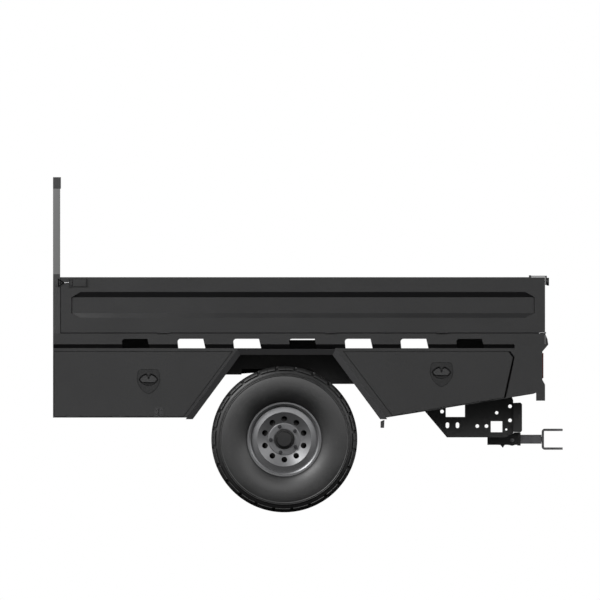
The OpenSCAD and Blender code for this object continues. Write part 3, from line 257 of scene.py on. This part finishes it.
def plank_metal(name, colour):
    """Extruded deck planks: powder coat with lengthwise die lines and scuffs from sliding loads."""
    s = Shader(name)
    die = s.noise(1.0, 3, 0.6, s.scaled((2, 900, 900)))
    scuff = s.noise(1.0, 5, 0.75, s.scaled((3.5, 60, 60)), 0.4)
    blotch = s.noise(4, 5, 0.6)
    base = s.mix(s.ramp(die, 0.35, 0.65), shade(colour, 0.85), shade(colour, 1.15))
    base = s.mix(s.ramp(blotch, 0.4, 0.7, 0, 0.4), base, shade(colour, 0.75))
    base = s.mix(s.ramp(scuff, 0.60, 0.72, 0, 0.55), base, (0.17, 0.17, 0.172))
    base = s.mix(s.math("MULTIPLY", s.edges(1.5 * MM), 0.5), base, (0.2, 0.2, 0.205))
    roughness = s.ramp(scuff, 0.5, 0.72, 0.5, 0.36)
    return s.finish(base, roughness, s.bump(s.noise(500, 3), 0.2 * MM, 0.5, s.bump(die, 0.1 * MM, 0.4)))


def latch_steel(name, box):
    """A black painted hook on a bright zinc rod: the paint ends where the rod leaves the hook."""
    hook_share = 0.58  # the painted part of the hook and rod together
    blur = 0.6 * MM
    s = Shader(name)
    split = s.new("ShaderNodeSeparateXYZ")
    s.link(s.new("ShaderNodeNewGeometry").outputs["Position"], split.inputs[0])
    low, high = box
    paint_end = low.x + hook_share * (high.x - low.x)
    bare = s.ramp(split.outputs["X"], paint_end - blur, paint_end + blur)
    lines = s.noise(1.0, 4, 0.7, s.scaled((60, 1500, 1500)))
    zinc = s.mix(s.ramp(lines, 0.3, 0.7), (0.50, 0.50, 0.51), (0.70, 0.70, 0.71))
    black = s.mix(s.math("MULTIPLY", s.edges(1.0 * MM), 0.5), (0.004, 0.004, 0.0042), (0.03, 0.03, 0.031))
    roughness = s.ramp(lines, 0.3, 0.7, 0.34, 0.42)
    return s.finish(s.mix(bare, black, zinc), roughness, s.bump(lines, 0.04 * MM, 0.4), Metallic=1.0)


def paint_with_painted_edge_shade(name, colour, band, rough, specular):
    """Paint with painted shade: a narrow band along every edge is made matt black, standing in for the shadow
    in the gaps round the part.
    """
    s = Shader(name)
    grain = s.noise(620, 4, 0.7)
    # painted shade: a band along the edges that turns near black
    rim = s.edges(band * MM, 0.004, 0.06)
    base = s.mix(s.ramp(grain, 0.3, 0.7), shade(colour, 0.88), shade(colour, 1.12))
    # the painted-shade band is made fully metallic with a near-black colour, so that it reflects almost
    # nothing
    s.link(rim, s.bsdf.inputs["Metallic"])
    roughness = s.math("ADD", s.ramp(grain, 0.3, 0.7, rough - 0.02, rough + 0.02),
                       s.math("MULTIPLY", rim, 0.2))
    return s.finish(s.mix(rim, base, (0.0035, 0.0035, 0.0036)), roughness, s.bump(grain, 0.05 * MM, 0.2),
                    Specular_IOR_Level=specular)


charcoal = (0.0085, 0.0085, 0.0089)
MATERIALS = {
    "body_paint": powder_coat("body_paint_mat", charcoal),
    "post_paint": powder_coat("post_paint_mat", (0.013, 0.013, 0.0135), 0.34, specular=0.66),
    "arch_paint": powder_coat("arch_paint_mat", (0.050, 0.050, 0.0515), 0.5, specular=0.4),
    "frame_paint": powder_coat("frame_paint_mat", (0.007, 0.007, 0.0073), 0.46, 0.3, 0.5),
    "deck_metal": plank_metal("deck_metal_mat", (0.055, 0.055, 0.057)),
    "lamp_lens": lens("lamp_lens_mat", (0.16, 0.006, 0.006)),
    "flap_rubber": moulded("flap_rubber_mat", (0.018, 0.018, 0.018), 0.6),
    "bare_steel": bare_metal("bare_steel_mat", (0.16, 0.16, 0.165), 0.4),
    "forged_steel": bare_metal("forged_steel_mat", (0.14, 0.14, 0.143), 0.45, (90, 90, 90), 0.8),
    "rim_steel": painted_wheel("rim_steel_mat", (0.16, 0.161, 0.165)),
    "tyre_rubber": tyre_rubber("tyre_rubber_mat"),
    "nut_steel": bare_metal("nut_steel_mat", (0.03, 0.03, 0.032), 0.4, (300, 300, 300), 0.7),
    "hub_iron": bare_metal("hub_iron_mat", (0.015, 0.0148, 0.0145), 0.6, (90, 90, 90), 0.3),
    # the lock dishes and the lever carry painted shade, a matt black band along their edges
    "lock_plastic": paint_with_painted_edge_shade("lock_plastic_edge_shade_mat", (0.006, 0.006, 0.0063), 5.0, 0.42, 0.4),
    "handle_metal": powder_coat("handle_metal_mat", (0.014, 0.014, 0.0145), 0.36),
    "latch_steel": latch_steel("latch_steel_mat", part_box("latch_hook_right")),
    "lever_edge_shade": paint_with_painted_edge_shade("lever_edge_shade_mat", charcoal, 5.0, 0.30, 0.62),
}
slot_of = {part["node"]: part["material_slot"] for part in frame["record"]["subparts"]}


def give(obj, slot):
    obj.data.materials.clear()
    obj.data.materials.append(MATERIALS[slot])


# ---------------------------------------------------------------- carried-over nodes
BEVEL_MM = {
    "clevis_fork": 1.6, "receiver": 1.5, "hitch_beam": 1.2, "headboard_frame": 2.0, "headboard_bars": 2.0,
    "drawbar_shank": 2.0, "frame_cross_tubes": 2.0, "torsion_axle": 2.0, "torsion_arm_left": 3.0,
    "torsion_arm_right": 3.0, "hub_cap_left": 1.0, "hub_cap_right": 1.0, "deck_planks": 0.8,
    "lock_dish_rear_left": 2.0, "lock_dish_rear_right": 2.0, "lock_dish_front_left": 2.0,
    "lock_dish_front_right": 2.0,
}
# folded sheet and bent tube, where even a shallow bend shows as an edge
PRESSED = ("dropside", "tailgate", "side_rail", "end_rails", "corner_skirts", "box_", "door_", "wheel_arches",
           "headboard_frame")
SHALLOW_BEND = 8
SHARP_EDGE = 32


def bevel(obj, width, angle=SHARP_EDGE):
    """Rounds the edges sharper than angle, in degrees, by width, in millimetres."""
    edge = obj.modifiers.new("edge", "BEVEL")
    edge.width = width * MM
    edge.segments = 2
    edge.limit_method = "ANGLE"
    edge.angle_limit = math.radians(angle)


for name, obj in nodes.items():
    give(obj, slot_of[name])
    if name.startswith("latch_hook"):
        obj.data.materials[0] = MATERIALS["latch_steel"]
    # the latch lever gets paint with a painted-shade band along its edges
    if name.startswith("latch_lever"):
        obj.data.materials[0] = MATERIALS["lever_edge_shade"]
    weld = obj.modifiers.new("weld", "WELD")
    weld.merge_threshold = 0.01 * MM
    flat = obj.modifiers.new("flat", "DECIMATE")
    flat.decimate_type = "DISSOLVE"
    flat.angle_limit = math.radians(0.6)
    bevel(obj, BEVEL_MM.get(name, 0.9), SHALLOW_BEND if name.startswith(PRESSED) else SHARP_EDGE)
    normals = obj.modifiers.new("normals", "WEIGHTED_NORMAL")
    normals.keep_sharp = False
    normals.weight = 50


# ---------------------------------------------------------------- mesh helpers
def new_object(name, verts, faces, smooth=True):
    mesh = bpy.data.meshes.new(name)
    mesh.from_pydata([tuple(v) for v in verts], [], faces)
    mesh.validate()
    for face in mesh.polygons:
        face.use_smooth = smooth
    obj = bpy.data.objects.new(name, mesh)
    scene.collection.objects.link(obj)
    return obj


def tidy_normals(obj):
    work = bmesh.new()
    work.from_mesh(obj.data)
    bmesh.ops.recalc_face_normals(work, faces=work.faces)
    work.to_mesh(obj.data)
    work.free()


class Builder:
    """Collects several closed shells in one mesh."""

    def __init__(self):
        self.verts = []
        self.faces = []

    def add(self, verts, faces):
        start = len(self.verts)
        self.verts += verts
        self.faces += [tuple(start + i for i in f) for f in faces]

    def sector(self, profile, a0, a1, steps, skew=0.0):
        """A closed profile of (radius, y) swept about Y from angle a0 to a1; skew turns it with y."""
        count = len(profile)
        verts = []
        for k in range(steps + 1):
            a = a0 + (a1 - a0) * k / steps
            for r, y in profile:
                b = a + skew * y
                verts.append((r * math.sin(b), y, r * math.cos(b)))
        faces = [
            (k * count + i, k * count + (i + 1) % count,
             (k + 1) * count + (i + 1) % count, (k + 1) * count + i)
            for k in range(steps) for i in range(count)
        ]
        faces.append(tuple(range(count)))
        faces.append(tuple(steps * count + i for i in reversed(range(count))))
        self.add(verts, faces)

    def lathe(self, profile, steps):
        """A closed profile of (radius, y) turned right round Y."""
        count = len(profile)
        verts = []
        for k in range(steps):
            a = 2 * math.pi * k / steps
            verts += [(r * math.sin(a), y, r * math.cos(a)) for r, y in profile]
        faces = [
            (k * count + i, k * count + (i + 1) % count,
             (k + 1) % steps * count + (i + 1) % count, (k + 1) % steps * count + i)
            for k in range(steps) for i in range(count)
        ]
        self.add(verts, faces)

    def object(self, name):
        obj = new_object(name, self.verts, self.faces)
        tidy_normals(obj)
        return obj


# ---------------------------------------------------------------- tyres
def make_tyre(side):
    """A tyre's carcass, with bead, sidewall rings and liner, and its tread blocks, in the CAD tyre's box."""
    low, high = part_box(f"tyre_{side}")
    centre = (low + high) / 2
    big = (high.z - low.z) / 2 / MM
    half = (high.y - low.y) / 2 / MM
    rim_low, rim_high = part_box(f"rim_{side}")
    flange = (rim_high.z - rim_low.z) / 2 / MM
    groove = 10.5  # depth of the tread's grooves
    base = big - groove
    outer = [
        (flange - 15, half - 76), (flange - 15, half - 50), (flange - 8, half - 41),
        (flange + 0.8, half - 38), (flange + 3, half - 30), (flange + 8, half - 25),
        (flange + 18, half - 19), (flange + 34, half - 11), (flange + 52, half - 5),
        (flange + 72, half - 1.2), (flange + 92, half), (flange + 112, half - 0.5),
        (flange + 130, half - 2.2), (flange + 143, half - 4.8), (flange + 146, half - 5.6),
        (flange + 147.5, half - 2.2), (flange + 149.5, half - 2.4), (flange + 151.5, half - 7.4),
        (flange + 153, half - 7.6), (flange + 154.5, half - 4.6), (flange + 156.5, half - 4.8),
        (flange + 157.5, half - 8), (flange + 166, half - 12), (flange + 178, half - 20),
        (base, half - 34),
    ]
    inner = [
        (base - 16, half - 40), (base - 60, half - 20), (flange + 60, half - 18), (flange + 6, half - 66),
    ]
    mirror = [(r, -y) for r, y in reversed(outer)]
    liner = [(r, -y) for r, y in reversed(inner)]
    carcass = outer + mirror + liner + list(reversed(inner))
    body = Builder()
    body.lathe([(r * MM, y * MM) for r, y in reversed(carcass)], 240)
    lugs = Builder()

    def block(profile, a0, a1, skew=0.0, steps=3):
        lugs.sector([(r * MM, y * MM) for r, y in profile], math.radians(a0), math.radians(a1), steps,
                    math.radians(skew) / (half * MM))

    pitch_count = 24
    pitch = 360 / pitch_count
    deep = base - 2
    top = big - 0.3  # the blocks stay just inside the tyre's own radius
    shoulder = [
        (deep, half - 64), (top, half - 64), (top, half - 41), (big - 3.5, half - 27),
        (big - 10, half - 16.5), (big - 19, half - 10.5), (big - 22, half - 11.5),
        (big - 22, half - 16), (deep - 5, half - 24),
    ]
    centre_block = [(deep, -19), (top, -19), (top, 19), (deep, 19)]
    for k in range(pitch_count):
        start = k * pitch
        for sign in (1, -1):
            shift = 0 if sign > 0 else pitch / 2
            side_face = [(r, sign * y) for r, y in shoulder]
            outer_y = half - 74
            middle = [(deep, sign * 26), (top, sign * 26), (top, sign * outer_y), (deep, sign * outer_y)]
            block(side_face, start + shift + 2.6, start + shift + 8.5, steps=4)
            block(side_face, start + shift + 8.8, start + shift + 15.0, steps=4)
            for row in range(2):
                a = start + shift + row * pitch / 2
                block(middle, a + 1.6, a + 4.1, sign * 14)
                block(middle, a + 4.3, a + 6.7, sign * 14)
        for row in range(2):
            a = start + row * pitch / 2
            block(centre_block, a + 0.8, a + 3.5, -22)
            block(centre_block, a + 3.7, a + 6.4, -22)
    carcass_obj = body.object(f"tyre_carcass_{side}")
    tread_obj = lugs.object(f"tyre_tread_{side}")
    bevel(tread_obj, 0.9, 40)
    even = tread_obj.modifiers.new("normals", "WEIGHTED_NORMAL")
    even.weight = 50
    for obj in (carcass_obj, tread_obj):
        obj.location = centre
        give(obj, "tyre_rubber")
        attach(obj, f"wheel_{side}")
        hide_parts(f"tyre_{side}")


for side in ("left", "right"):
    make_tyre(side)


# ---------------------------------------------------------------- dark shields behind the wheel's holes, standing in for the shade seen through them
def shade_shield(side, sign):
    """A dished steel shield with a rolled lip, beside the hub, so that no light comes through the wheel: a
    dark sheet put there as painted shade.
    """
    shaft = 64  # hole for the hub's inner end
    dish = 118  # radius of the flat part
    rim_clear = 52  # from the rim flange's radius in to the shield's lip
    hub_low, hub_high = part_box(f"hub_{side}")
    rim_low, rim_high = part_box(f"rim_{side}")
    middle = (hub_low + hub_high) / 2
    reach = (rim_high.z - rim_low.z) / 2 / MM - rim_clear
    inner = (hub_low.y if sign > 0 else hub_high.y) - middle.y
    outline = [
        (shaft, 16), (dish, 16), (dish + 4, 18), (reach - 10, 18), (reach - 4, 22), (reach, 30),
        (reach + 1.6, 30), (reach - 2, 20.5), (reach - 9, 16.2), (dish + 5, 16.2), (dish + 1, 14.2),
        (shaft, 14.2),
    ]
    plate = Builder()
    plate.lathe([(r * MM, inner + sign * y * MM) for r, y in outline], 96)
    obj = plate.object(f"shade_shield_{side}")
    obj.location = middle
    # the dark iron colour makes the shield read as the shade behind the wheel's holes
    give(obj, "hub_iron")
    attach(obj, f"arm_{side}")


for side, sign in (("left", 1), ("right", -1)):
    shade_shield(side, sign)


# ---------------------------------------------------------------- small trim
def boxes(name, blocks):
    """One mesh of several upright boxes, each given as two opposite corners."""
    build = Builder()
    for a, b in blocks:
        v = [(x, y, z) for x in (a[0], b[0]) for y in (a[1], b[1]) for z in (a[2], b[2])]
        build.add(v, [(0, 1, 3, 2), (4, 6, 7, 5), (0, 4, 5, 1), (2, 3, 7, 6), (0, 2, 6, 4), (1, 5, 7, 3)])
    obj = build.object(name)
    for face in obj.data.polygons:
        face.use_smooth = False
    return obj


def door_leaf(side, sign):
    """A small two-leaf hinge plate with four screws, low on the headboard-end door."""
    from_end = 558  # from the door's headboard end to the plate
    above_edge = 6.5
    set_back = 4  # from the door's outermost point in to its skin
    thick = 1.6
    knuckle_out = 4.2
    around = 16  # sides of a screw's head
    low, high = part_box(f"door_rear_{side}")
    skin = (high.y if sign > 0 else low.y) - sign * set_back * MM
    x = low.x + from_end * MM
    z = low.z + above_edge * MM
    out = skin + sign * thick * MM

    def slab(x0, x1, z0, z1, y1):
        a, b = sorted((skin - sign * 0.5 * MM, skin + sign * y1 * MM))
        return ((x + x0 * MM, a, z + z0 * MM), (x + x1 * MM, b, z + z1 * MM))

    plate = boxes(f"door_leaf_{side}", [slab(0, 20, 0, 46, thick), slab(27, 47, 0, 46, thick)])
    bevel(plate, 0.4)
    knuckles = boxes(f"door_leaf_knuckles_{side}",
                     [slab(20.6, 26.4, 1 + 9 * i, 9 + 9 * i, knuckle_out) for i in range(5)])
    bevel(knuckles, 1.6)
    screws = Builder()
    head = [(4.2, 0.0), (4.0, 1.0), (2.6, 1.9), (0.0, 2.2)]
    rows = len(head)
    for dx in (10, 37):
        for dz in (11, 35):
            verts = []
            for k in range(around):
                a = 2 * math.pi * k / around
                verts += [(x + dx * MM + r * MM * math.sin(a), out + sign * h * MM,
                           z + dz * MM + r * MM * math.cos(a)) for r, h in head]
            faces = [
                (k * rows + i, (k + 1) % around * rows + i, (k + 1) % around * rows + i + 1, k * rows + i + 1)
                for k in range(around) for i in range(rows - 1)
            ]
            faces.append(tuple(k * rows for k in range(around)))
            faces.append(tuple(k * rows + rows - 1 for k in reversed(range(around))))
            screws.add(verts, faces)
    heads = screws.object(f"door_leaf_screws_{side}")
    for obj, slot in ((plate, "handle_metal"), (knuckles, "nut_steel"), (heads, "nut_steel")):
        give(obj, slot)
        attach(obj, f"door_rear_{side}")


for side, sign in (("left", 1), ("right", -1)):
    door_leaf(side, sign)


# ---------------------------------------------------------------- floor, world, lights and camera
def floor_material():
    s = Shader("floor_mat")
    base = s.mix(s.ramp(s.noise(3, 4), 0.3, 0.7), (0.80, 0.80, 0.80), (0.83, 0.83, 0.83))
    roughness = s.ramp(s.noise(120, 3), 0.3, 0.7, 0.75, 0.85)
    return s.finish(base, roughness, s.bump(s.noise(400, 2), 0.1 * MM, 0.3))


floor_half = 30.0
floor_corners = [(-floor_half, -floor_half, 0), (floor_half, -floor_half, 0),
                 (floor_half, floor_half, 0), (-floor_half, floor_half, 0)]
floor = new_object("floor", floor_corners, [(0, 1, 2, 3)], False)
floor.data.materials.append(floor_material())
floor.visible_diffuse = False
floor.visible_glossy = False

world = bpy.data.worlds.new("studio")
scene.world = world
world.use_nodes = True
sky = world.node_tree
sky.nodes.clear()
direction = sky.nodes.new("ShaderNodeTexCoord").outputs["Generated"]
split = sky.nodes.new("ShaderNodeSeparateXYZ")
sky.links.new(direction, split.inputs[0])


def sky_step(low, high, start, end):
    """A smooth change of brightness between two heights on the sky."""
    node = sky.nodes.new("ShaderNodeMapRange")
    node.interpolation_type = "SMOOTHSTEP"
    sky.links.new(split.outputs["Z"], node.inputs["Value"])
    for key, value in (("From Min", low), ("From Max", high), ("To Min", start), ("To Max", end)):
        node.inputs[key].default_value = value
    return node.outputs[0]


def sky_math(operation, a, b):
    node = sky.nodes.new("ShaderNodeMath")
    node.operation = operation
    for socket, value in zip(node.inputs, (a, b)):
        if isinstance(value, float):
            socket.default_value = value
        else:
            sky.links.new(value, socket)
    return node.outputs[0]


# dark below, a bright band of soft light a little above the horizon, and a dim ceiling
band = sky_math("MULTIPLY", sky_step(0.10, 0.28, 0.0, 1.0), sky_step(0.40, 0.58, 1.0, 0.0))
base_light = sky_math("MULTIPLY", sky_step(-0.34, -0.02, 0.0, 0.44), sky_step(0.60, 0.76, 1.0, 0.3))
light = sky_math("ADD", base_light, sky_math("MULTIPLY", band, 2.6))
seen = sky.nodes.new("ShaderNodeLightPath").outputs["Is Camera Ray"]
glow = sky.nodes.new("ShaderNodeBackground")
mixed = sky_math("MAXIMUM", light, seen)
sky.links.new(mixed, glow.inputs["Color"])
glow.inputs["Strength"].default_value = 1.0
sky_out = sky.nodes.new("ShaderNodeOutputWorld")
sky.links.new(glow.outputs[0], sky_out.inputs[0])

centre = (cad_low + cad_high) / 2


def area_light(name, offset, size, power):
    data = bpy.data.lights.new(name, "AREA")
    data.shape = "RECTANGLE"
    data.size, data.size_y = size
    data.energy = power
    obj = bpy.data.objects.new(name, data)
    scene.collection.objects.link(obj)
    obj.location = centre + Vector(offset)
    obj.rotation_mode = "QUATERNION"
    obj.rotation_quaternion = (-Vector(offset)).to_track_quat("-Z", "Y")


area_light("key", (-3.2, -4.5, 3.4), (2.2, 1.6), 260)

view_width = 3.336
view_ahead = 1.3733  # from the headboard end to the middle of the view
view_height = 1.181
camera_data = bpy.data.cameras.new("camera")
camera_data.type = "ORTHO"
camera_data.ortho_scale = view_width
camera = bpy.data.objects.new("camera", camera_data)
scene.collection.objects.link(camera)
camera.location = (cad_low.x + view_ahead, -12.0, view_height)
camera.rotation_euler = (math.radians(90), 0, 0)
scene.camera = camera
scene.view_settings.view_transform = "Standard"
scene.view_settings.look = "None"
